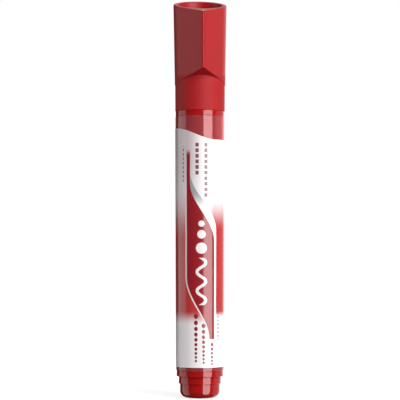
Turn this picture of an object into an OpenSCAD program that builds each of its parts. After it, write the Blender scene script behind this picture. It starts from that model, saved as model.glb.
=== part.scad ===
// Whiteboard marker: a liquid-ink pen with a clear barrel and a pull-off cap.
// Z runs up the pen from the flat end of the rear plug to the top of the cap.
// The thumb keel of the cap points along -Y.

/* [Lengths] */
// Length of the end button of the rear plug
button_len = 4.9; // [3.9:0.1:6]
// Length of the ring that the cap can be posted on
post_len = 2.5; // [2:0.1:3.2]
// Length of the collar that closes the rear of the barrel
collar_len = 2.0; // [1.6:0.1:2.6]
// Length of the clear barrel
barrel_len = 87.2; // [70:0.1:110]
// Length of the front flange that shows between barrel and cap
flange_len = 1.8; // [1.4:0.1:2.4]
// Length of the cap on its axis, up to its slanted top
cap_len = 36.9; // [30:0.1:45]

/* [Barrel] */
// Outer diameter of the barrel at its front end
barrel_d = 17.0; // [14:0.1:20.5]
// How much thinner the barrel is at its rear end
barrel_taper = 0.6; // [0.45:0.05:0.75]
// Wall of the barrel
barrel_wall = 1.15; // [0.9:0.05:1.4]
// Length of the straight seat for the front section
front_seat_len = 13; // [10.4:0.1:15.6]
// Length of the straight seat for the rear plug
rear_seat_len = 9; // [7.2:0.1:10.8]

/* [Label] */
// Thickness of the printed film
film_t = 0.08; // [0.06:0.01:0.1]
// Bare barrel below the film
film_margin = 1.3; // [1:0.1:1.6]
// Bare barrel above the high side of the film
film_top_gap = 4.2; // [3.4:0.1:5.2]
// How far the upper edge of the film falls from one side to the other
film_fall = 4.1; // [3.2:0.1:5]

/* [Front section] */
// Length of the seat that the cap grips
seat_len = 7.0; // [5.6:0.1:8.4]
// Length of the land that the seal of the cap closes on
land_len = 4.0; // [3.2:0.1:4.8]
// Length of the tapered nose
nose_len = 8.6; // [7:0.1:10.3]
// Wall of the nose around the nib
nose_wall = 0.9; // [0.75:0.05:1.1]
// Length of the spigot inside the barrel
spigot_len = 12; // [9.6:0.1:14.4]
// Wall of the spigot around the regulator neck
spigot_wall = 1.7; // [1.4:0.05:2.1]

/* [Nib and ink] */
// Diameter of the bullet nib
nib_d = 4.8; // [4:0.1:5.7]
// Length of the nib outside the nose
nib_out = 6.0; // [5:0.1:7.2]
// Length of the nib held inside the nose
nib_hold = 14; // [11:0.1:16.5]
// Diameter of the feed wick
wick_d = 2.0; // [1.6:0.1:2.4]
// Length of the wick that reaches into the ink tank
wick_tail = 8; // [6:0.1:9.6]
// Length of the regulator behind the front section
regulator_len = 26; // [21:0.1:31.5]
// Thickness of a regulator fin
fin_t = 0.9; // [0.7:0.05:1.1]
// Distance from one regulator fin to the next
fin_pitch = 2.0; // [1.7:0.05:2.4]
// Thickness of the head that closes the ink tank
head_t = 3.0; // [2.6:0.1:3.6]
// Air space left over the ink
air_gap = 4.0; // [3:0.1:5]

/* [Cap] */
// Wall of the cap at its mouth
cap_wall = 1.13; // [0.95:0.01:1.35]
// How much wider in radius the cap is at its top than at its mouth
cap_flare = 0.67; // [0.5:0.01:0.8]
// Slope of the cap's top, which falls towards the keel
top_angle = 16; // [13:0.5:19]
// Depth of the pocket in the cap's top, on the axis
pocket_depth = 3.1; // [2.6:0.1:3.7]
// Width of the rim round that pocket
pocket_rim = 1.5; // [1.2:0.1:2.2]
// Thickness of the wall under that pocket
pocket_floor_t = 1.4; // [1.2:0.1:1.7]
// Wall of the inner seal cup
cup_wall = 1.05; // [0.85:0.05:1.25]
// Height of the plain collar below the keel
cap_collar_len = 11.8; // [9.5:0.1:14]
// How far the collar is set in from the body of the cap
collar_inset = 0.16; // [0.12:0.01:0.19]
// Half of the angle that the keel spans, from its ridge to a facet's foot
keel_angle = 51; // [45:1:55]
// Slope of the keel's underside
keel_under_angle = 22.8; // [19:0.1:27]

/* [Fits] */
// Radial clearance of pieces pressed together by hand
push_clear = 0.02; // [0.01:0.01:0.04]
// Radial clearance between the cap and its seat
cap_clear = 0.05; // [0.03:0.01:0.1]
// Radial clearance between the cap and the posting ring
post_clear = 0.15; // [0.1:0.01:0.2]
// Thickness of the adhesive under the film
film_clear = 0.01; // [0.01:0.01:0.02]
// Radial squeeze of beads and rings that seal
squeeze = 0.03; // [0.02:0.01:0.05]

/* [Hidden] */
$fn = 96;

red = "#A81C1F";
far = 40;

// Levels along the axis
z_post = button_len;
z_collar = z_post + post_len;
z_barrel = z_collar + collar_len;
z_flange = z_barrel + barrel_len;
z_cap = z_flange + flange_len;
z_top = z_cap + cap_len;
z_pocket = z_top - pocket_depth;
z_roof = z_pocket - pocket_floor_t;
z_seat_end = z_cap + seat_len;
z_land_end = z_seat_end + land_len;
z_nose_end = z_land_end + nose_len;
z_spigot = z_flange - spigot_len;
z_head = z_spigot - regulator_len;
z_nib_rear = z_nose_end - nib_hold;
z_nib_tip = z_nose_end + nib_out;

// Radii of the barrel
barrel_r = barrel_d / 2;
barrel_r_rear = barrel_r - barrel_taper / 2;
bore_r = barrel_r - barrel_wall;
bore_r_rear = barrel_r_rear - barrel_wall;
z_bore_low = z_barrel + rear_seat_len;
z_bore_high = z_flange - front_seat_len;
function outer_at(z) = barrel_r_rear + (barrel_r - barrel_r_rear) * (z - z_barrel) / barrel_len;
function bore_at(z) = bore_r_rear
  + (bore_r - bore_r_rear) * (min(max(z, z_bore_low), z_bore_high) - z_bore_low)
  / (z_bore_high - z_bore_low);

// Radii of the cap and of what it fits on
cap_lip = 0.03;
cap_mouth_r = barrel_r + cap_lip;
cap_top_r = cap_mouth_r + cap_flare;
cap_bore_r = cap_mouth_r - cap_wall;
cup_step = 0.4;
cup_r = cap_bore_r - cup_step;
cup_bore_r = cup_r - cup_wall;
seat_r = cap_bore_r - cap_clear;
land_r = cup_bore_r - cap_clear;
cap_lean = atan(cap_flare / cap_len);
function cap_at(z) = cap_mouth_r + cap_flare * (z - z_cap) / cap_len;

// Rear plug
collar_step = 0.2;
plug_collar_r = barrel_r_rear - collar_step;
post_r = cap_bore_r - post_clear;
button_step = 0.4;
button_r = post_r - button_step;
button_edge = 2.3;
snap_bead = 0.08;
snap_len = 0.45;
plug_wall = 1.4;
plug_floor = 1.8;
plug_spigot_len = rear_seat_len - 1;
plug_spigot_r = bore_r_rear - push_clear;
plug_bore_r = button_r - plug_wall;
bead_r = 0.5;

// Seal rings
ring_r = 0.45;
ring_gap = 0.02;

// Front section
flange_step = 0.08;
flange_r = barrel_r - flange_step;
spigot_r = bore_r - push_clear;
cavity_r = spigot_r - spigot_wall;
cavity_roof = 2.6;
z_cavity = z_cap + cavity_roof + 1.4;
nose_base_r = land_r - 0.9;
nose_lead = 0.6;
nib_bore_r = nib_d / 2 + push_clear;
vent_count = 4;
vent_w = 0.8;
vent_depth = 0.35;

// Regulator
neck_len = 8;
neck_r = cavity_r - push_clear;
core_r = 3.6;
fin_clear = 0.35;
fin_r = bore_r_rear - fin_clear;
head_clear = 0.08;
wick_clear = 0.05;
slot_w = 0.8;
fin_count = floor((regulator_len - head_t - fin_t) / fin_pitch);

// Keel
ledge_angle = 75;
keel_sink = 0.04;
keel_flat = 0.3;
ridge_factor = 1 / cos(keel_angle);

module turned(points) {
  rotate_extrude() polygon(points);
}

module bore(r, z0, z1) {
  translate([0, 0, z0]) cylinder(r = r, h = z1 - z0);
}

module ring(middle_r, r, z) {
  translate([0, 0, z]) rotate_extrude() translate([middle_r, 0]) circle(r = r);
}

// Everything on the axis side of a plane that leans outward as it rises
module inside_plane(turn, distance, z, lean) {
  rotate([0, 0, turn]) translate([0, -distance, z]) rotate([lean, 0, 0])
    translate([-far, 0, -far]) cube([2 * far, 2 * far, 2 * far]);
}

module barrel_tube() {
  color([0.85, 0.72, 0.72, 0.5]) turned([
    [bore_r_rear, z_barrel],
    [barrel_r_rear, z_barrel],
    [barrel_r, z_flange],
    [bore_r, z_flange],
    [bore_r, z_bore_high],
    [bore_r_rear, z_bore_low]
  ]);
}

// The upper edge of the film falls in a smooth S from -X to +X
edge_start = -1.12 * barrel_r;
edge_run = 1.65 * barrel_r;
edge_steps = 14;
z_film_low = z_barrel + film_margin;
z_film_high = z_flange - film_top_gap;
function ease(t) = t * t * (3 - 2 * t);
function edge_z(x) = z_film_high - film_fall * ease(min(max((x - edge_start) / edge_run, 0), 1));

module above_film_edge() {
  span = 1.5 * barrel_r;
  rotate([90, 0, 0]) translate([0, 0, -far / 2]) linear_extrude(far) polygon(concat(
    [[span, z_flange], [-span, z_flange]],
    [for (i = [0 : edge_steps]) let (x = -span + 2 * span * i / edge_steps) [x, edge_z(x)]]
  ));
}

module label_film() {
  low = outer_at(z_film_low) + film_clear;
  high = outer_at(z_film_high) + film_clear;
  color("#C65A55") difference() {
    turned([
      [low, z_film_low],
      [low + film_t, z_film_low],
      [high + film_t, z_film_high],
      [high, z_film_high]
    ]);
    above_film_edge();
  }
}

module rear_plug() {
  spigot_top = z_barrel + plug_spigot_len;
  z_bead = z_barrel + plug_spigot_len / 2;
  color(red) difference() {
    union() {
      rotate_extrude() {
        square([button_r - button_edge, z_post]);
        translate([0, button_edge]) square([button_r, z_post - button_edge]);
        translate([button_r - button_edge, button_edge]) circle(r = button_edge);
      }
      bore(post_r, z_post, z_collar);
      turned([
        [0, z_post],
        [post_r + snap_bead, z_post],
        [post_r, z_post + snap_len],
        [0, z_post + snap_len]
      ]);
      turned([
        [0, z_collar],
        [plug_collar_r + snap_bead / 2, z_collar],
        [plug_collar_r, z_barrel],
        [0, z_barrel]
      ]);
      bore(plug_spigot_r, z_barrel, spigot_top);
      ring(bore_r_rear + squeeze - bead_r, bead_r, z_bead);
    }
    bore(plug_bore_r, plug_floor, spigot_top + 1);
  }
}

module ink_charge() {
  level = z_head - air_gap;
  spigot_top = z_barrel + plug_spigot_len;
  fill = 0.02;
  color("#8E1016") difference() {
    turned([
      [0, plug_floor],
      [plug_bore_r - fill, plug_floor],
      [plug_bore_r - fill, spigot_top],
      [bore_r_rear - fill, spigot_top],
      [bore_r_rear - fill, z_bore_low],
      [bore_at(level) - fill, level],
      [0, level]
    ]);
    bore(wick_d / 2 + fill, z_head - wick_tail, level + 1);
  }
}

module feed_wick() {
  color("#C23036") bore(wick_d / 2, z_head - wick_tail, z_nib_rear);
}

module seal_groove(wall_r, z) {
  difference() {
    bore(far, z - ring_r - ring_gap, z + ring_r + ring_gap);
    bore(wall_r + squeeze - 2 * ring_r, z - far, z + far);
  }
}

module seal_ring(wall_r, z) {
  ring(wall_r + squeeze - ring_r, ring_r, z);
}

z_head_ring = z_head + head_t / 2;
z_spigot_ring = z_flange - 0.7 * spigot_len;

module ink_regulator() {
  head_r = bore_at(z_head) - head_clear;
  first = z_head + head_t + fin_pitch - fin_t;
  color("#D9A9A6") difference() {
    union() {
      bore(head_r, z_head, z_head + head_t);
      bore(core_r, z_head, z_spigot + neck_len);
      for (i = [0 : fin_count - 1])
        bore(fin_r, first + i * fin_pitch, first + i * fin_pitch + fin_t);
      bore(neck_r, z_spigot - fin_t, z_spigot + neck_len);
    }
    bore(wick_d / 2 + wick_clear, z_head - 1, z_spigot + neck_len + 1);
    seal_groove(bore_at(z_head_ring), z_head_ring);
    translate([-slot_w / 2, core_r - slot_w, z_head + head_t])
      cube([slot_w, far, z_spigot - fin_t - z_head - head_t]);
  }
}

module regulator_seal() {
  color("#2B2B2D") seal_ring(bore_at(z_head_ring), z_head_ring);
}

module front_section() {
  color(red) difference() {
    turned([
      [0, z_spigot],
      [spigot_r, z_spigot],
      [spigot_r, z_flange],
      [flange_r, z_flange],
      [flange_r, z_cap],
      [seat_r, z_cap],
      [seat_r, z_seat_end],
      [land_r, z_seat_end],
      [land_r, z_land_end - nose_lead],
      [nose_base_r, z_land_end],
      [nib_d / 2 + nose_wall, z_nose_end],
      [0, z_nose_end]
    ]);
    bore(cavity_r, z_spigot - 1, z_cavity);
    bore(nib_bore_r, z_spigot, z_nose_end + 1);
    seal_groove(bore_r, z_spigot_ring);
    for (i = [0 : vent_count - 1])
      rotate([0, 0, 45 + i * 360 / vent_count])
        translate([-vent_w / 2, 0, z_cavity - 1])
          cube([vent_w, nib_bore_r + vent_depth, z_nose_end - z_cavity + 2]);
  }
}

module section_seal() {
  color("#2B2B2D") seal_ring(bore_r, z_spigot_ring);
}

module nib() {
  r = nib_d / 2;
  tip_r = 1.3;
  shoulder = z_nib_tip - 2.9;
  color("#B3161C") rotate_extrude() {
    translate([0, z_nib_rear]) square([r, shoulder - z_nib_rear]);
    polygon([[0, shoulder], [r, shoulder], [tip_r, z_nib_tip - tip_r], [0, z_nib_tip - tip_r]]);
    intersection() {
      translate([0, z_nib_tip - tip_r]) circle(r = tip_r);
      translate([0, z_nib_tip - 2 * tip_r]) square([tip_r, 2 * tip_r]);
    }
  }
}

// Everything above the plane of the keel's underside
module above_underside() {
  z_foot = z_cap + cap_collar_len;
  translate([0, -cap_at(z_foot), z_foot]) rotate([-keel_under_angle, 0, 0])
    translate([-far, -far, 0]) cube([2 * far, 2 * far, 2 * far]);
}

// The round body, and the slimmer collar that it stands on
module cap_body() {
  z_foot = z_cap + cap_collar_len;
  foot_r = cap_at(z_foot);
  z_high = z_top + far / 4;
  shoulder = z_foot - foot_r * (1 - cos(ledge_angle)) * tan(keel_under_angle);
  turned([
    [0, z_cap],
    [cap_mouth_r, z_cap],
    [foot_r - collar_inset, z_foot],
    [0, z_foot]
  ]);
  intersection() {
    turned([
      [0, shoulder],
      [cap_at(shoulder), shoulder],
      [cap_at(z_high), z_high],
      [0, z_high]
    ]);
    above_underside();
  }
}

// Two flat facets that leave the round body on a tangent and meet in a ridge
module keel() {
  z_foot = z_cap + cap_collar_len;
  foot_r = cap_at(z_foot);
  facet_d = foot_r - keel_sink;
  ridge_d = foot_r * ridge_factor;
  ridge_lean = atan(tan(cap_lean) * ridge_factor);
  intersection() {
    inside_plane(keel_angle, facet_d, z_foot, cap_lean);
    inside_plane(-keel_angle, facet_d, z_foot, cap_lean);
    inside_plane(0, ridge_d - keel_flat, z_foot, ridge_lean);
    translate([-far / 2, -far, z_cap]) cube([far, far - facet_d * cos(keel_angle), 2 * cap_len]);
    above_underside();
  }
}

// The slanted top cuts the body and the keel alike
module above_top() {
  translate([0, 0, z_top]) rotate([top_angle, 0, 0])
    translate([-far, -far, 0]) cube([2 * far, 2 * far, 2 * far]);
}

module cap_shell() {
  color(red) difference() {
    union() {
      cap_body();
      keel();
    }
    above_top();
    bore(cap_at(z_pocket) - pocket_rim, z_pocket, z_top + far);
    bore(cap_bore_r, z_cap - 1, z_seat_end + 0.6);
    bore(cup_r, z_cap, z_roof);
  }
}

module cap_inner_seal() {
  lip = z_seat_end + 0.8;
  color("#E4D3D0") difference() {
    bore(cup_r - push_clear, lip, z_roof);
    bore(cup_bore_r, lip - 1, z_roof - cup_wall);
  }
}

barrel_tube();
label_film();
rear_plug();
ink_charge();
feed_wick();
ink_regulator();
regulator_seal();
front_section();
section_seal();
nib();
cap_shell();
cap_inner_seal();
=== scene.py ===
# %% [markdown]
# A liquid-ink whiteboard marker, 138 mm tall, standing on its rear plug with the cap on.
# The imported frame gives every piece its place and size. This script gives each visible piece
# a finely rounded skin, and gives each material the look of the moulded, printed, fibrous or
# liquid stuff that the real one is made of.

# %% Load the frame
import bpy
from math import atan2, cos, pi, radians, sin, sqrt, tan
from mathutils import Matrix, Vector


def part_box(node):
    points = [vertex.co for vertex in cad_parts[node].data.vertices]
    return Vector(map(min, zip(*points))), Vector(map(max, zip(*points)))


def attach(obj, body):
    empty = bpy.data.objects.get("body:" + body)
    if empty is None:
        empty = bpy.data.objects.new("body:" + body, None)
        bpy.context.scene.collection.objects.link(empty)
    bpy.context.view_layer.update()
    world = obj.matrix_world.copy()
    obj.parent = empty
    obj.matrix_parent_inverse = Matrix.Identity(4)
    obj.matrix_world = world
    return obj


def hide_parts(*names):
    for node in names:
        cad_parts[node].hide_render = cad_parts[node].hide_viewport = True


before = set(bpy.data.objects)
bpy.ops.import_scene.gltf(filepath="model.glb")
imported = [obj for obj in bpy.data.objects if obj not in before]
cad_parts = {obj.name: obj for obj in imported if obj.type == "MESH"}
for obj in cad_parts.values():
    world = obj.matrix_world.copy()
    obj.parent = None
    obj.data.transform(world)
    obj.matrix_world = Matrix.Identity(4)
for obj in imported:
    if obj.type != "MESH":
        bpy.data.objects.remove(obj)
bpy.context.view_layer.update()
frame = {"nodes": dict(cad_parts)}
print("nodes:", ", ".join(frame["nodes"]))

# %% [markdown]
# Sizes are written in millimetres, as on a drawing, and turned to metres where a mesh is made.
# Levels and radii that the frame knows are read from the boxes of its nodes, so the skins
# follow the CAD model if that changes. The steps of the plug, the seats of the section and the
# shape of the cap are inside those boxes, so they are named here.

# %% Sizes
MM = 0.001


def low(node):
    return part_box(node)[0][2] / MM


def high(node):
    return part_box(node)[1][2] / MM


def radius(node):
    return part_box(node)[1][0] / MM


Z_BARREL = low("barrel_tube")
Z_FLANGE = high("barrel_tube")
Z_CAP = low("cap_shell")
Z_NOSE = high("front_section")
BARREL_R = radius("barrel_tube")
BARREL_TAPER = 0.3
BARREL_WALL = 1.15
FRONT_SEAT = 13
REAR_SEAT = 9
CAP_MOUTH_R = BARREL_R + 0.03
CAP_FLARE = 0.67
CAP_LEN = 36.9
CAP_WALL = 1.13
CAP_BORE_R = CAP_MOUTH_R - CAP_WALL
CUP_WALL = 1.05
CUP_R = CAP_BORE_R - 0.4
CUP_BORE_R = CUP_R - CUP_WALL
CAP_CLEAR = 0.05
CLOSE_FIT = 0.02
SMOOTH_ANGLE = 34
print(f"barrel {Z_BARREL:.1f} to {Z_FLANGE:.1f} mm, cap from {Z_CAP:.1f} mm up")

# %% [markdown]
# Loading leaves every CAD node selected, and an operator acts on all that is selected. So each
# new piece starts from an empty selection, and is shaped while it alone is in edit mode.

# %% Starting and finishing a piece


def deselect():
    for piece in bpy.context.selected_objects:
        piece.select_set(False)


def edit_all():
    bpy.ops.object.mode_set(mode="EDIT")
    bpy.ops.mesh.select_all(action="SELECT")


def close_up(piece, smooth_angle=SMOOTH_ANGLE):
    """Merges doubled points, turns all faces outwards and smooths all but the true edges."""
    edit_all()
    bpy.ops.mesh.remove_doubles(threshold=0.0005 * MM)
    bpy.ops.mesh.delete_loose()
    bpy.ops.mesh.select_all(action="SELECT")
    bpy.ops.mesh.normals_make_consistent(inside=False)
    bpy.ops.object.mode_set(mode="OBJECT")
    bpy.ops.object.shade_smooth_by_angle(angle=radians(smooth_angle))
    print(piece.name, len(piece.data.polygons), "faces")
    return piece


def stands_for(piece, node, body):
    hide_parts(node)
    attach(piece, body)


deselect()

# %% [markdown]
# Most pieces of a pen are turned shapes. A turned piece is one outline of radius and height,
# spun about the axis. Moulded edges are never sharp, because the tool that cuts a mould leaves a
# radius, so each corner of an outline may give a third number, its fillet. That small radius is
# what catches a thin line of light along every step.

# %% Outlines with fillets


SUPPORT = 0.15


def rounded(outline, cuts=4):
    """Replaces each corner that has a fillet by an arc of that radius.

    A spare point just outside each end of the arc keeps the smooth shading of the arc from
    bending the look of the straight wall next to it."""
    points = []
    for i, corner in enumerate(outline):
        here = Vector(corner[:2])
        if len(corner) < 3:
            points.append(here)
            continue
        back = (Vector(outline[i - 1][:2]) - here).normalized()
        ahead = (Vector(outline[(i + 1) % len(outline)][:2]) - here).normalized()
        half = back.angle(ahead) / 2
        fillet = corner[2]
        run = fillet / tan(half)
        centre = here + (back + ahead).normalized() * fillet / sin(half)
        first = here + back * run - centre
        last = here + ahead * run - centre
        points.append(here + back * (run + SUPPORT * fillet))
        for k in range(cuts + 1):
            points.append(centre + first.slerp(last, k / cuts).normalized() * fillet)
        points.append(here + ahead * (run + SUPPORT * fillet))
    return points


# %% Turning an outline
SIDES = 144


def turned(name, outline):
    """Draws an outline point by point with extrude, then spins it round the Z axis."""
    deselect()
    bpy.ops.mesh.primitive_plane_add(size=MM)
    piece = bpy.context.object
    piece.name = name
    points = [Vector((p.x, 0, p.y)) * MM for p in rounded(outline)]
    edit_all()
    bpy.ops.mesh.merge(type="CENTER")
    bpy.ops.transform.translate(value=points[0])
    closed = points[1:] + points[:1]
    for start, end in zip(points, closed):
        bpy.ops.mesh.extrude_region_move(TRANSFORM_OT_translate={"value": end - start})
    bpy.ops.mesh.select_all(action="SELECT")
    bpy.ops.mesh.spin(steps=SIDES, angle=2 * pi, center=(0, 0, 0), axis=(0, 0, 1))
    bpy.ops.object.mode_set(mode="OBJECT")
    return close_up(piece)


# %% [markdown]
# The rear plug is one polished moulding: a collar that closes the barrel, a ring that a posted
# cap snaps on, with a small bead at its lower edge, and a round-edged button that the marker
# stands on. Its spigot is hollow and goes up into the barrel.

# %% Rear plug
PLUG_FLOOR = 1.8
POST_R = CAP_BORE_R - 0.15
BUTTON_R = POST_R - 0.4
COLLAR_R = BARREL_R - BARREL_TAPER - 0.2
Z_POST = 4.9
Z_COLLAR = 7.4
SPIGOT_TOP = Z_BARREL + REAR_SEAT - 1
PLUG_SPIGOT_R = BARREL_R - BARREL_TAPER - BARREL_WALL - CLOSE_FIT
PLUG_BORE_R = BUTTON_R - 1.4

plug = turned("rear_plug_moulding", [
    (0, PLUG_FLOOR),
    (0, 0),
    (BUTTON_R, 0, 2.3),
    (BUTTON_R, Z_POST - 0.02, 0.1),
    (POST_R + 0.08, Z_POST, 0.15),
    (POST_R + 0.02, Z_POST + 0.45, 0.2),
    (POST_R, Z_COLLAR - 0.02, 0.1),
    (COLLAR_R + 0.04, Z_COLLAR, 0.2),
    (COLLAR_R, Z_BARREL, 0.12),
    (PLUG_SPIGOT_R, Z_BARREL, 0.05),
    (PLUG_SPIGOT_R, SPIGOT_TOP, 0.3),
    (PLUG_BORE_R, SPIGOT_TOP, 0.1),
    (PLUG_BORE_R, PLUG_FLOOR, 0.4),
])
stands_for(plug, "rear_plug", "pen")

# %% [markdown]
# The barrel is a clear tube with a slight draft, 0.3 mm in radius over its length, so that it
# comes off its core in the mould. Its two ends are straight inside, where the plug and
# the front section are pressed in.

# %% Barrel
BARREL_REAR_R = BARREL_R - BARREL_TAPER

tube = turned("barrel_moulding", [
    (BARREL_REAR_R - BARREL_WALL, Z_BARREL, 0.1),
    (BARREL_REAR_R, Z_BARREL, 0.15),
    (BARREL_R, Z_FLANGE, 0.2),
    (BARREL_R - BARREL_WALL, Z_FLANGE, 0.1),
    (BARREL_R - BARREL_WALL, Z_FLANGE - FRONT_SEAT),
    (BARREL_REAR_R - BARREL_WALL, Z_BARREL + REAR_SEAT),
])
stands_for(tube, "barrel_tube", "pen")

# %% [markdown]
# The front section holds the nib. Its flange is the glossy ring between barrel and cap. Above
# the flange come the seat that the cap grips, the land that the cap's inner cup seals on, and
# the tapered nose. Four slots beside the nib let air in as ink goes out.

# %% Front section
SEAT_R = CAP_BORE_R - CAP_CLEAR
LAND_R = CUP_BORE_R - CAP_CLEAR
SEAT_LEN = 7
LAND_LEN = 4
CAVITY_RISE = 4
SPIGOT_LEN = 12
SPIGOT_WALL = 1.7
RING_DEPTH = 0.84
FLANGE_INSET = 0.08
NOSE_WALL = 0.9
Z_SEAT_END = Z_CAP + SEAT_LEN
Z_LAND_END = Z_SEAT_END + LAND_LEN
Z_SPIGOT = Z_FLANGE - SPIGOT_LEN
Z_CAVITY = Z_CAP + CAVITY_RISE
NIB_R = radius("nib")
NIB_BORE_R = NIB_R + CLOSE_FIT
SECTION_SPIGOT_R = BARREL_R - BARREL_WALL - CLOSE_FIT
RING_Z = Z_FLANGE - 0.7 * SPIGOT_LEN
RING_HALF = 0.47

section = turned("front_section_moulding", [
    (SECTION_SPIGOT_R - SPIGOT_WALL, Z_SPIGOT, 0.2),
    (SECTION_SPIGOT_R, Z_SPIGOT, 0.3),
    (SECTION_SPIGOT_R, RING_Z - RING_HALF),
    (SECTION_SPIGOT_R - RING_DEPTH, RING_Z - RING_HALF),
    (SECTION_SPIGOT_R - RING_DEPTH, RING_Z + RING_HALF),
    (SECTION_SPIGOT_R, RING_Z + RING_HALF),
    (SECTION_SPIGOT_R, Z_FLANGE),
    (BARREL_R - FLANGE_INSET, Z_FLANGE, 0.12),
    (BARREL_R - FLANGE_INSET, Z_CAP, 0.15),
    (SEAT_R, Z_CAP, 0.1),
    (SEAT_R, Z_SEAT_END, 0.3),
    (LAND_R, Z_SEAT_END, 0.2),
    (LAND_R, Z_LAND_END - 0.6, 0.3),
    (LAND_R - 0.9, Z_LAND_END, 0.3),
    (NIB_R + NOSE_WALL, Z_NOSE, 0.25),
    (NIB_BORE_R, Z_NOSE, 0.1),
    (NIB_BORE_R, Z_CAVITY),
    (SECTION_SPIGOT_R - SPIGOT_WALL, Z_CAVITY, 0.3),
])

# %% Air slots beside the nib
SLOT_W = 0.8
SLOT_DEPTH = 0.35

for quarter in range(4):
    deselect()
    turn = pi / 4 + quarter * pi / 2
    bpy.ops.mesh.primitive_cube_add(size=MM)
    cutter = bpy.context.object
    edit_all()
    bpy.ops.transform.resize(value=(SLOT_W, NIB_BORE_R + SLOT_DEPTH, Z_NOSE - Z_CAVITY + 2))
    bpy.ops.transform.translate(value=(0, (NIB_BORE_R + SLOT_DEPTH) / 2 * MM, 0))
    bpy.ops.object.mode_set(mode="OBJECT")
    cutter.rotation_euler.z = turn
    cutter.location.z = (Z_NOSE + Z_CAVITY) / 2 * MM
    slot_cut = section.modifiers.new("air slot", "BOOLEAN")
    slot_cut.object = cutter
    slot_cut.solver = "EXACT"
    bpy.context.view_layer.objects.active = section
    bpy.ops.object.modifier_apply(modifier=slot_cut.name)
    bpy.data.objects.remove(cutter)
deselect()
section.select_set(True)
bpy.ops.object.shade_smooth_by_angle(angle=radians(SMOOTH_ANGLE))
stands_for(section, "front_section", "pen")
print("front section has", len(section.data.polygons), "faces")

# %% [markdown]
# The nib is a rod of bonded fibre, ground to a bullet. Its shoulder is a cone and its tip a dome.

# %% Nib
Z_NIB_LOW = low("nib")
Z_NIB = high("nib")
NIB_POINT = 2.9
NIB_TIP_R = 1.25

nib = turned("bullet_nib", [
    (0, Z_NIB_LOW),
    (NIB_R, Z_NIB_LOW, 0.15),
    (NIB_R, Z_NIB - NIB_POINT, 0.9),
    (NIB_TIP_R, Z_NIB, 1.2),
    (0, Z_NIB),
])
stands_for(nib, "nib", "pen")

# %% [markdown]
# Inside the cap sits a soft natural-coloured cup. Its lip closes on the land of the front
# section, so the nib does not dry. It shows when the cap is off and one looks into the mouth.

# %% Inner seal cup
Z_CUP_LOW = low("cap_inner_seal")
Z_CUP_TOP = high("cap_inner_seal")

cup = turned("seal_cup", [
    (0, Z_CUP_TOP),
    (0, Z_CUP_TOP - CUP_WALL),
    (CUP_BORE_R, Z_CUP_TOP - CUP_WALL, 0.5),
    (CUP_BORE_R, Z_CUP_LOW, 0.2),
    (CUP_R - CLOSE_FIT, Z_CUP_LOW, 0.2),
    (CUP_R - CLOSE_FIT, Z_CUP_TOP, 0.2),
])
stands_for(cup, "cap_inner_seal", "cap")

# %% [markdown]
# The cap and the label are round, but not turned: the cap has a keel for the thumb and a
# slanted top, and the label has a curved upper edge. Both are made as a tube whose outline
# changes with the turn about the axis. The turn is counted from the keel, which points along
# -Y. The outlines stand closer together near the keel's ridge, where the shape changes fastest.

# %% Wrapping an outline that changes with the turn


def wrapped(name, outline_at, sides, crowding=0.0):
    """A tube whose outline of radius and height, in millimetres, follows a rule of the turn."""
    rows = len(rounded(outline_at(0)))
    deselect()
    bpy.ops.mesh.primitive_cylinder_add(
        vertices=sides, radius=1, depth=1, end_fill_type="NOTHING")
    piece = bpy.context.object
    piece.name = name
    bpy.ops.object.mode_set(mode="EDIT")
    bpy.ops.mesh.select_mode(type="EDGE")
    bpy.ops.mesh.select_all(action="DESELECT")
    bpy.ops.object.mode_set(mode="OBJECT")
    points = piece.data.vertices
    for edge in piece.data.edges:
        a, b = edge.vertices
        edge.select = abs(points[a].co.z - points[b].co.z) > 0.5
    bpy.ops.object.mode_set(mode="EDIT")
    bpy.ops.mesh.subdivide_edgering(number_cuts=rows - 2, interpolation="LINEAR")
    bpy.ops.mesh.select_mode(type="VERT")
    bpy.ops.object.mode_set(mode="OBJECT")
    outlines = {}
    for point in piece.data.vertices:
        side = round(atan2(point.co.x, -point.co.y) / (2 * pi) * sides) % sides
        turn = 2 * pi * side / sides
        turn -= crowding * sin(turn)
        if side not in outlines:
            outlines[side] = rounded(outline_at(turn))
        r, z = outlines[side][round((point.co.z + 0.5) * (rows - 1))]
        point.co = Vector((r * sin(turn), -r * cos(turn), z)) * MM
    return close_up(piece, 40)


def ease(t):
    t = min(max(t, 0), 1)
    return t * t * (3 - 2 * t)


# %% [markdown]
# The keel is two flat facets. Each leaves the round cap on a tangent, 51 degrees from the
# ridge, so from the front the cap looks like three flats although it is round behind. Below,
# a plane that rises outwards cuts the keel off, and the body steps in to a slimmer collar by
# a sixth of a millimetre. The top is one slanted plane, low at the ridge and high at the back,
# with a round pocket moulded into it.

# %% Shape of the cap
KEEL_ANGLE = radians(51)
LEDGE_ANGLE = radians(75)
RIDGE_ROUNDING = radians(1.4)
COLLAR_LEN = 11.8
POCKET_DEPTH = 3.1
POCKET_FLOOR_T = 1.4
POCKET_RIM = 1.5
SEAT_RELIEF = 0.6
Z_FOOT = Z_CAP + COLLAR_LEN
UNDER_SLOPE = tan(radians(22.8))
TOP_SLOPE = tan(radians(16))
COLLAR_INSET = 0.16
Z_AXIS_TOP = Z_CAP + CAP_LEN
Z_POCKET = Z_AXIS_TOP - POCKET_DEPTH
Z_ROOF = Z_POCKET - POCKET_FLOOR_T


def cap_at(z):
    return CAP_MOUTH_R + CAP_FLARE * (z - Z_CAP) / CAP_LEN


def reach_at(turn):
    """How many times further out than the round body the facets are."""
    if cos(turn) <= cos(KEEL_ANGLE):
        return 1
    turn = atan2(sin(turn), cos(turn))
    off_ridge = sqrt(turn * turn + RIDGE_ROUNDING ** 2)
    return 1 / cos(max(KEEL_ANGLE - off_ridge, 0))


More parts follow.
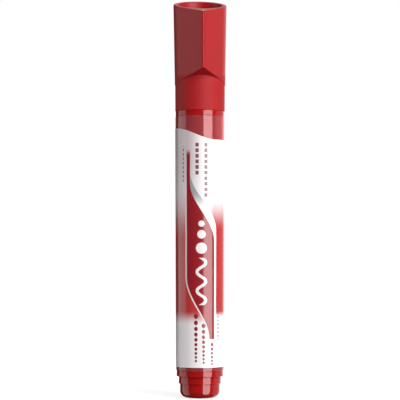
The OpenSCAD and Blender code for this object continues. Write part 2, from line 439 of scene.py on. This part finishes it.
def on_slope(turn, slope, z, r_at):
    """Where the outline's radius meets a plane that leans forward: its radius and height."""
    meets = z
    for _ in range(6):
        meets = z + r_at(meets) * cos(turn) * slope
    return r_at(meets), meets


FOOT_R = cap_at(Z_FOOT)
POCKET_R = cap_at(Z_POCKET) - POCKET_RIM


def cap_outline(turn):
    forward = max(cos(turn), cos(LEDGE_ANGLE)) - 1
    z_step = Z_FOOT + FOOT_R * forward * UNDER_SLOPE
    risen = z_step - Z_CAP
    collar_r = CAP_MOUTH_R + (FOOT_R - COLLAR_INSET - CAP_MOUTH_R) * risen / (Z_FOOT - Z_CAP)
    reach = reach_at(turn)
    under = (cap_at(z_step), z_step)
    if reach > 1:
        z_axis = Z_FOOT - FOOT_R * UNDER_SLOPE
        under = on_slope(turn, UNDER_SLOPE, z_axis, lambda z: cap_at(z) * reach)
    rim = on_slope(turn, -TOP_SLOPE, Z_AXIS_TOP, lambda z: cap_at(z) * reach)
    lip = on_slope(turn, -TOP_SLOPE, Z_AXIS_TOP, lambda z: POCKET_R)
    ledge = under[0] - collar_r
    return [
        (0, Z_ROOF),
        (CUP_R, Z_ROOF, 0.3),
        (CUP_R, Z_SEAT_END + SEAT_RELIEF, 0.1),
        (CAP_BORE_R, Z_SEAT_END + SEAT_RELIEF, 0.1),
        (CAP_BORE_R, Z_CAP, 0.35),
        (CAP_MOUTH_R, Z_CAP, 0.18),
        (collar_r, z_step, min(0.25 * ledge, 0.12)),
        (*under, min(0.3 * ledge, 0.2)),
        (*rim, 0.32),
        (*lip, 0.2),
        (POCKET_R, Z_POCKET, 0.6),
        (0, Z_POCKET),
    ]


cap = wrapped("cap_moulding", cap_outline, 288, 0.8)
stands_for(cap, "cap_shell", "cap")

# %% [markdown]
# The label is a thin printed film, wrapped round the barrel with a gap of a hair. Its lower
# edge is straight, and its upper edge falls from left to right in a soft S.

# %% Label film
FILM_GAP = 0.01
FILM_T = 0.08
Z_FILM = low("label_film")
FILM_FALL = 4.1
EDGE_START = 1.12
EDGE_RUN = 1.65
Z_FILM_TOP = Z_FLANGE - 4.2


def barrel_at(z):
    return BARREL_R - BARREL_TAPER * (Z_FLANGE - z) / (Z_FLANGE - Z_BARREL)


def film_edge(turn):
    across = BARREL_R * sin(turn)
    return Z_FILM_TOP - FILM_FALL * ease((across + EDGE_START * BARREL_R) / (EDGE_RUN * BARREL_R))


def film_outline(turn):
    edge = film_edge(turn)
    inner = barrel_at(Z_FILM) + FILM_GAP
    inner_high = barrel_at(edge) + FILM_GAP
    return [
        (inner, Z_FILM),
        (inner + FILM_T, Z_FILM, 0.02),
        (inner_high + FILM_T, edge, 0.02),
        (inner_high, edge),
        (inner, Z_FILM),
    ]


film = wrapped("printed_film", film_outline, 192)
stands_for(film, "label_film", "pen")

# %% [markdown]
# Colours are picked on a screen, as sRGB hex values, but a shader needs linear light. One
# function does the change. One more adds any node, sets it and links it: each value goes to
# the input of its place or name, and a node or a socket given as a value is linked. Two short
# ones on top of it add a sum and a blend of two colours.

# %% Colours and nodes


def linear(hex_colour):
    channels = [int(hex_colour[i:i + 2], 16) / 255 for i in (1, 3, 5)]
    return [c / 12.92 if c <= 0.04045 else ((c + 0.055) / 1.055) ** 2.4 for c in channels] + [1]


def add(tree, kind, *values, named=None, **settings):
    node = tree.nodes.new("ShaderNode" + kind)
    for name, value in settings.items():
        setattr(node, name, value)
    for key, value in [*enumerate(values), *(named or {}).items()]:
        if isinstance(value, bpy.types.Node):
            value = value.outputs[0]
        if isinstance(value, bpy.types.NodeSocket):
            tree.links.new(value, node.inputs[key])
        elif value is not None:
            node.inputs[key].default_value = value
    return node


def sums(tree, operation, *values):
    return add(tree, "Math", *values, operation=operation)


def blend(tree, share, first, last):
    """Goes from the first colour to the last one as the share goes from 0 to 1."""
    colours = {6: linear(first), 7: linear(last)}
    return add(tree, "Mix", share, data_type="RGBA", named=colours).outputs[2]


def new_material(name, **sockets):
    """A Principled material, with its constants set on the shader's own sockets."""
    material = bpy.data.materials.new(name)
    material.use_nodes = True
    shader = material.node_tree.nodes["Principled BSDF"]
    for key, value in sockets.items():
        shader.inputs[key.replace("_", " ")].default_value = value
    return material, material.node_tree, shader


def give(material, *names):
    for name in names:
        piece = bpy.data.objects.get(name)
        piece.data.materials.clear()
        piece.data.materials.append(material)


# %% [markdown]
# Moulded polypropylene copies its mould. A polished mould leaves a glossy skin with a very
# faint ripple from the flow of the plastic, about a millimetre from crest to crest. A spark-
# eroded mould leaves a satin grain. Handling adds hairline rubs, which only show in the gloss.

# %% Surface of moulded plastic


def moulded_skin(tree, shader, gloss, rub, ripple, grain=None):
    """Sets roughness and bump: ripple and grain are heights in millimetres."""
    place = add(tree, "TexCoord").outputs["Object"]
    flow = add(tree, "TexNoise", place, named={"Scale": 700.0, "Detail": 1.0})
    streaks = add(tree, "Mapping", place, named={"Scale": (1.0, 1.0, 0.12)})
    hairs = add(tree, "TexNoise", streaks, named={"Scale": 2600.0, "Detail": 3.0})
    worn = add(tree, "MapRange", hairs, 0.45, 0.75, 0.0, rub)
    rough = sums(tree, "ADD", worn, gloss)
    height = sums(tree, "MULTIPLY", flow, ripple)
    if grain:
        mask, depth, matte = grain
        spots = add(tree, "TexNoise", place, named={"Scale": 5200.0, "Detail": 2.0})
        spots = sums(tree, "MULTIPLY", spots, depth)
        spots = sums(tree, "MULTIPLY", spots, mask(tree, place))
        height = sums(tree, "ADD", height, spots)
        duller = sums(tree, "MULTIPLY", mask(tree, place), matte)
        rough = sums(tree, "ADD", rough, duller)
    bump = add(tree, "Bump", named={"Strength": 1.0, "Distance": MM, "Height": height})
    tree.links.new(rough.outputs[0], shader.inputs["Roughness"])
    tree.links.new(bump.outputs[0], shader.inputs["Normal"])
    return place


# %% [markdown]
# The cap is red polypropylene with a satin skin. Its collar, below the keel, has a coarser
# grain. Thumbs have polished the keel's ridge, so a thin bright line runs down it.

# %% Red polypropylene of the cap
GRAIN_FADE = 0.15
RIDGE_POLISH = 0.3


def collar_mask(tree, place):
    height = add(tree, "SeparateXYZ", place).outputs["Z"]
    return add(tree, "MapRange", height, Z_FOOT * MM, (Z_FOOT + GRAIN_FADE) * MM, 1.0, 0.0)


satin_red, tree, shader = new_material(
    "satin_red_polypropylene", IOR=1.49, Specular_IOR_Level=0.27)
moulded_skin(tree, shader, 0.40, 0.06, 0.004, (collar_mask, 0.02, 0.22))
shader.inputs["Base Color"].default_value = linear("#A4161B")

place = add(tree, "TexCoord").outputs["Object"]
axes = add(tree, "SeparateXYZ", place)
beside = sums(tree, "ABSOLUTE", axes.outputs["X"])
on_ridge = add(tree, "MapRange", beside, 0.35 * MM, 0.6 * MM, RIDGE_POLISH, 0.0)
ahead = add(tree, "MapRange", axes.outputs["Y"], -12.5 * MM, -11.5 * MM, 1.0, 0.0)
polish = sums(tree, "MULTIPLY", on_ridge, ahead)
satin = shader.inputs["Roughness"].links[0].from_socket
polished = sums(tree, "SUBTRACT", satin, polish)
tree.links.new(polished.outputs[0], shader.inputs["Roughness"])
give(satin_red, "cap_moulding")

# %% [markdown]
# The plug and the front section are the same red, from polished moulds, so their highlights
# have crisp edges.

# %% Polished red polypropylene
gloss_red, tree, shader = new_material("polished_red_polypropylene", IOR=1.49)
moulded_skin(tree, shader, 0.10, 0.05, 0.003)
shader.inputs["Base Color"].default_value = linear("#A21313")
give(gloss_red, "rear_plug_moulding", "front_section_moulding")

# %% [markdown]
# The barrel is clear polypropylene, which is never quite as clear as glass: it is a little
# milky, and the ink that has wetted it from inside stains it pink.

# %% Clear polypropylene of the barrel
clear, tree, shader = new_material("clear_polypropylene", IOR=1.49, Transmission_Weight=0.72)
moulded_skin(tree, shader, 0.06, 0.03, 0.003)
shader.inputs["Base Color"].default_value = linear("#E8666C")
give(clear, "barrel_moulding")

# %% [markdown]
# The print on the film is drawn by rules in millimetres. One coordinate runs round the film
# from the middle of the print, to the right as one reads it, and the other is the height.
# Every long curve of the design is the same soft S, so one function draws them all: it says
# where the curve is at each height. A mask is 1 on one side of an edge and 0 on the other.

# %% Coordinates on the film
PRINT_TURN = radians(-4.8)
film_print, tree, shader = new_material(
    "printed_gloss_film", IOR=1.5, Specular_IOR_Level=0.4, Coat_Weight=0.35, Coat_Roughness=0.05)
place = add(tree, "TexCoord").outputs["Object"]
axes = add(tree, "SeparateXYZ", place)
toward = sums(tree, "MULTIPLY", axes.outputs["Y"], -1.0)
around = sums(tree, "ARCTAN2", axes.outputs["X"], toward)
around = sums(tree, "SUBTRACT", around, PRINT_TURN)
ACROSS = sums(tree, "MULTIPLY", around, BARREL_R)
UP = sums(tree, "MULTIPLY", axes.outputs["Z"], 1 / MM)


def ramp(value, start, end, first=0.0, last=1.0):
    """Goes smoothly from first to last as the value goes from start to end."""
    if start > end:
        start, end, first, last = end, start, last, first
    return add(tree, "MapRange", value, start, end, first, last, interpolation_type="SMOOTHSTEP")


def past(value, edge, soft=0.07):
    """1 where the value is over the edge, which may itself be a curve."""
    gap = sums(tree, "SUBTRACT", value, edge)
    return ramp(gap, -soft, soft)


def both(a, b):
    return sums(tree, "MULTIPLY", a, b)


def no(mask):
    return sums(tree, "SUBTRACT", 1.0, mask)


def paint(below, colour, mask):
    """Lays a colour over what is below where the mask is 1."""
    mix = add(tree, "Mix", data_type="RGBA", named={0: mask})
    tree.links.new(below, mix.inputs[6])
    if isinstance(colour, str):
        mix.inputs[7].default_value = linear(colour)
    else:
        tree.links.new(colour, mix.inputs[7])
    return mix.outputs[2]


# %% Long curves of the design
left_curve = ramp(UP, 41.5, 20.5, -4.8, 3.3)
right_curve = ramp(UP, 73.5, 53.5, -3.5, 5.2)
band_curve = ramp(UP, 76.8, 57.5, -3.3, 6.0)
LINE_W = 0.5
left_line = sums(tree, "SUBTRACT", left_curve, LINE_W)

# %% [markdown]
# The ground is white, with painted shade that greys it a little towards the upper left. A red
# field fills the space between the left and the right curve. A band lies along the field's right
# side: it starts as a silver crescent and thins to a white line. The two outer zones are red too,
# and fade to the ground above and below, as a screen of ever smaller dots does in print.

# %% Ground and fields
Z_ART_FOOT = 20.4
# Painted shade: the white ground is greyed towards the upper left, where less light falls.
painted_left_shade = both(ramp(ACROSS, 1.5, -3.5), ramp(UP, 62.0, 84.0))
art = blend(tree, painted_left_shade, "#F2EDEE", "#D6C8CA")
zone_right = both(past(ACROSS, band_curve), both(ramp(UP, 69.5, 57.5), ramp(UP, 27.5, 30.0)))
art = paint(art, "#BC1A1E", zone_right)
# The left zone is the print's red, painted paler than the right zone: a painted reflection of the
# left light.
zone_left = both(no(past(ACROSS, left_line)), both(ramp(UP, 74.0, 54.0), ramp(UP, 25.0, 30.0)))
art = paint(art, "#C03A37", zone_left)
field = both(past(ACROSS, left_curve), no(past(ACROSS, right_curve)))
field = both(field, both(past(UP, Z_ART_FOOT), ramp(UP, 85.3, 83.0)))
art = paint(art, "#962028", field)
line = both(past(ACROSS, left_line), no(past(ACROSS, left_curve)))
line = both(line, both(past(UP, Z_ART_FOOT), ramp(UP, 76.0, 70.0)))
art = paint(art, "#F3DFE0", line)
band = both(past(ACROSS, right_curve), no(past(ACROSS, band_curve)))
band = both(band, both(past(UP, Z_ART_FOOT), ramp(UP, 77.0, 74.0)))
sheen = blend(tree, ramp(UP, 70.5, 64.5), "#A3A2A6", "#F8F6F6")
art = paint(art, sheen, band)

# %% [markdown]
# Under the field, dots fall away in three columns. Each gap is 0.93 of the one above, and the
# middle column stands half a step lower. Turned round, that rule gives the number of the dot
# at any height, so a few nodes draw a whole column.

# %% Falling dots
DOT_TOP = 28.14
DOT_GAP = 2.2
DOT_RATIO = 0.93
DOT_SQUEEZE = 1.12
DOT_SIZE = 0.38


def dot_column(centre, half_step, first, last):
    fallen = sums(tree, "SUBTRACT", DOT_TOP, UP)
    share = sums(tree, "MULTIPLY", fallen, (1 - DOT_RATIO) / DOT_GAP)
    left = sums(tree, "MAXIMUM", no(share), 0.02)
    number = sums(tree, "LOGARITHM", left, DOT_RATIO)
    number = sums(tree, "SUBTRACT", number, half_step)
    nearest = sums(tree, "ROUND", number)
    gap = sums(tree, "POWER", DOT_RATIO, nearest)
    gap = sums(tree, "MULTIPLY", gap, DOT_GAP)
    off = sums(tree, "MULTIPLY", sums(tree, "SUBTRACT", number, nearest), gap)
    aside = sums(tree, "SUBTRACT", ACROSS, centre)
    aside = sums(tree, "MULTIPLY", aside, DOT_SQUEEZE)
    length = sums(tree, "ADD", both(off, off), both(aside, aside))
    length = sums(tree, "SQRT", length)
    size = sums(tree, "MULTIPLY", gap, DOT_SIZE)
    inside = no(past(length, size, 0.09))
    counted = both(past(nearest, first - 0.5, 0.01), no(past(nearest, last + 0.5, 0.01)))
    return both(inside, counted)


for centre, half_step, first, last in ((-1.43, 0, 0, 9), (1.3, 0.5, 1, 9), (4.29, 0, 5, 10)):
    art = paint(art, "#8A2830", dot_column(centre, half_step, first, last))

# %% [markdown]
# Where a real label has its wording, this one has plain ornament: four dashed rules, three
# white drops and a wavy stroke such as the marker itself would draw.

# %% Plain ornament
INK_GREY = "#6F5158"
SOFT_WHITE = "#EFE8E8"
MIDDLE = 0.5


def dashed_rule(centre, width, top, bottom, pitch):
    along = sums(tree, "MODULO", UP, pitch)
    dash = both(past(along, 0.3), no(past(along, pitch - 0.3)))
    beside = sums(tree, "SUBTRACT", ACROSS, centre)
    beside = sums(tree, "ABSOLUTE", beside)
    dash = both(dash, no(past(beside, width / 2)))
    return both(dash, both(past(UP, bottom), no(past(UP, top))))


for rule in ((-1.0, 1.1, 87.1, 75.7, 1.9), (2.05, 1.1, 87.1, 68.4, 1.9),
             (-6.2, 0.5, 86.0, 74.0, 1.5), (7.0, 0.5, 33.4, 20.2, 1.3)):
    art = paint(art, INK_GREY, dashed_rule(*rule))

for height, size in ((59.6, 1.05), (56.0, 1.45), (51.3, 1.9)):
    rise = sums(tree, "SUBTRACT", UP, height)
    beside = sums(tree, "SUBTRACT", ACROSS, MIDDLE)
    length = sums(tree, "ADD", both(rise, rise), both(beside, beside))
    length = sums(tree, "SQRT", length)
    art = paint(art, SOFT_WHITE, no(past(length, size)))

WAVE_LENGTH = 6.4
WAVE_SWING = 1.5
WAVE_FROM = 32.0
WAVE_TO = 48.0
STROKE_HALF = 0.5
phase = both(sums(tree, "SUBTRACT", UP, WAVE_FROM), 2 * pi / WAVE_LENGTH)
swing = both(sums(tree, "SINE", phase), WAVE_SWING)
slant = both(sums(tree, "COSINE", phase), 2 * pi * WAVE_SWING / WAVE_LENGTH)
steep = sums(tree, "SQRT", sums(tree, "ADD", 1.0, both(slant, slant)))
beside = sums(tree, "SUBTRACT", ACROSS, sums(tree, "ADD", swing, MIDDLE))
beside = sums(tree, "DIVIDE", sums(tree, "ABSOLUTE", beside), steep)
stroke = both(no(past(beside, STROKE_HALF)), both(past(UP, WAVE_FROM), no(past(UP, WAVE_TO))))
art = paint(art, SOFT_WHITE, stroke)

# %% Surface of the film
tree.links.new(art, shader.inputs["Base Color"])
FILM_ROUGHNESS = 0.22
shader.inputs["Roughness"].default_value = FILM_ROUGHNESS
give(film_print, "printed_film")

# %% [markdown]
# The nib is made of bonded fibres, all along its length, soaked in ink. Stretched noise gives
# the fibres, which are far finer than this on the real nib but would not show.

# %% Fibre of nib and wick


def fibre(name, dark, light, rough):
    material, tree, shader = new_material(name, Roughness=rough, Sheen_Weight=0.2)
    place = add(tree, "TexCoord").outputs["Object"]
    strands = add(tree, "Mapping", place, named={"Scale": (1.0, 1.0, 0.06)})
    noise = add(tree, "TexNoise", strands, named={"Scale": 5000.0, "Detail": 2.0})
    tone = blend(tree, noise, dark, light)
    bump = add(tree, "Bump", named={"Strength": 0.6, "Distance": 0.05 * MM, "Height": noise})
    tree.links.new(tone, shader.inputs["Base Color"])
    tree.links.new(bump.outputs[0], shader.inputs["Normal"])
    return material


def cad_material(material, *nodes):
    for node in nodes:
        for slot in frame["nodes"][node].material_slots:
            slot.material = material


give(fibre("ink_soaked_nib_fibre", "#5E070C", "#A3141B", 0.75), "bullet_nib")
cad_material(fibre("wick_fibre", "#7A1018", "#C2323A", 0.8), "feed_wick")

# %% [markdown]
# The cup and the regulator are natural polyolefin, milky and soft to the eye, with light
# going a little way in. The regulator is stained by ink. The seals are black rubber.

# %% Materials of the inner pieces
natural, tree, shader = new_material(
    "natural_polyethylene", IOR=1.5, Subsurface_Weight=0.3, Subsurface_Scale=0.5 * MM)
moulded_skin(tree, shader, 0.38, 0.05, 0.004)
shader.inputs["Base Color"].default_value = linear("#E9DCD8")
give(natural, "seal_cup")

stained, tree, shader = new_material("ink_stained_polypropylene", IOR=1.49)
place = moulded_skin(tree, shader, 0.35, 0.05, 0.004)
blots = add(tree, "TexNoise", place, named={"Scale": 160.0, "Detail": 3.0})
tone = blend(tree, add(tree, "MapRange", blots, 0.4, 0.6), "#D9A5A0", "#A83A3C")
tree.links.new(tone, shader.inputs["Base Color"])
cad_material(stained, "ink_regulator")

rubber, tree, shader = new_material("nitrile_rubber", IOR=1.52)
moulded_skin(tree, shader, 0.55, 0.1, 0.006)
shader.inputs["Base Color"].default_value = linear("#1E1E20")
cad_material(rubber, "regulator_seal", "section_seal")

ink, tree, shader = new_material("red_ink", IOR=1.36, Roughness=0.02)
place = add(tree, "TexCoord").outputs["Object"]
depth = add(tree, "TexNoise", place, named={"Scale": 60.0})
tone = blend(tree, depth, "#5C060B", "#7A0A10")
tree.links.new(tone, shader.inputs["Base Color"])
cad_material(ink, "ink_charge")
print("materials:", ", ".join(m.name for m in bpy.data.materials))

# %% [markdown]
# The camera stands about half a metre away, level with a point a little below the middle of
# the marker, and looks up by one and a half degrees. It faces the middle of the print, a few
# degrees to the left of the keel, so the ridge falls just right of the middle.

# %% Camera
CAMERA_TURN = PRINT_TURN
CAMERA_AWAY = 0.5515
CAMERA_UP = 0.0535
TILT_UP = radians(1.49)

camera_data = bpy.data.cameras.new("camera")
camera_data.lens = 144
camera_data.sensor_width = 36
camera = bpy.data.objects.new("camera", camera_data)
bpy.context.collection.objects.link(camera)
camera.location = (CAMERA_AWAY * sin(CAMERA_TURN), -CAMERA_AWAY * cos(CAMERA_TURN), CAMERA_UP)
camera.rotation_euler = (pi / 2 + TILT_UP, 0, CAMERA_TURN)
bpy.context.scene.camera = camera

# %% [markdown]
# The light is that of a product table: a tall strip softbox in front on the right, a dimmer
# one at the left side, two dim panels behind on the right, and a soft top light for the floor.
# The four uprights stand on a circle round the marker, facing it. They show in the gloss as
# upright bars, which is how the eye reads a cylinder.

# %% Lights


def softbox(name, turn, away, height, wide, tall, watts):
    """An area light at a turn to the right of the camera, facing the marker."""
    light = bpy.data.lights.new(name, "AREA")
    light.shape = "RECTANGLE"
    light.size = wide
    light.size_y = tall
    light.energy = watts
    box = bpy.data.objects.new(name, light)
    bpy.context.collection.objects.link(box)
    turn = CAMERA_TURN + radians(turn)
    box.location = (away * sin(turn), -away * cos(turn), height)
    box.rotation_euler = (pi / 2, 0, turn)
    box.visible_camera = False
    return box


LIGHT_AWAY = 0.6
LIGHT_HEIGHT = 0.1
LIGHT_TALL = 1.3
for name, turn, wide, watts in (
        ("strip_right", 38, 0.47, 12.6), ("strip_left", -96, 0.58, 3.2),
        ("panel_right", 125, 1.2, 3.2), ("panel_back", 165, 0.6, 2.5)):
    softbox(name, turn, LIGHT_AWAY, LIGHT_HEIGHT, wide, LIGHT_TALL, watts)
top_light = softbox("top_light", 0, 0.0, 0.9, 1.6, 1.6, 0.8)
top_light.rotation_euler = (0, 0, 0)

WORLD_FILL = 0.03
FLOOR_FILL = 0.05
world = bpy.data.worlds.new("studio")
bpy.context.scene.world = world
world.use_nodes = True
tree = world.node_tree
seen = add(tree, "LightPath").outputs["Is Camera Ray"]
strength = add(tree, "MapRange", seen, 0.0, 1.0, WORLD_FILL, 1.0)
background = tree.nodes["Background"]
background.inputs["Color"].default_value = (1, 1, 1, 1)
tree.links.new(strength.outputs[0], background.inputs["Strength"])

# %% [markdown]
# The floor is a plain white sweep, lit from below away from the marker, as a product table is,
# so it is as white as the background and has no horizon. It is left out of gloss reflections,
# as black flags round the table would keep it, so that the red stays deep.

# %% Floor
SHADE_REACH = 0.15
deselect()
bpy.ops.mesh.primitive_plane_add(size=6)
floor = bpy.context.object
floor.name = "floor"
floor.visible_glossy = False
white, tree, shader = new_material("white_sweep", Roughness=0.9, Specular_IOR_Level=0.0)
place = add(tree, "TexCoord").outputs["Object"]
away = add(tree, "VectorMath", place, operation="LENGTH").outputs["Value"]
glow = add(tree, "MapRange", away, 0.0, SHADE_REACH, 0.75, 1.0, interpolation_type="SMOOTHSTEP")
tone = blend(tree, glow, "#FFFFFF", "#808080")
tree.links.new(tone, shader.inputs["Base Color"])
seen = add(tree, "LightPath").outputs["Is Camera Ray"]
strength = add(tree, "MapRange", seen, 0.0, 1.0, FLOOR_FILL, 1.0)
glow = sums(tree, "MULTIPLY", glow, strength)
tree.links.new(glow.outputs[0], shader.inputs["Emission Strength"])
shader.inputs["Emission Color"].default_value = (1, 1, 1, 1)
give(white, "floor")

bpy.context.scene.view_settings.view_transform = "Standard"
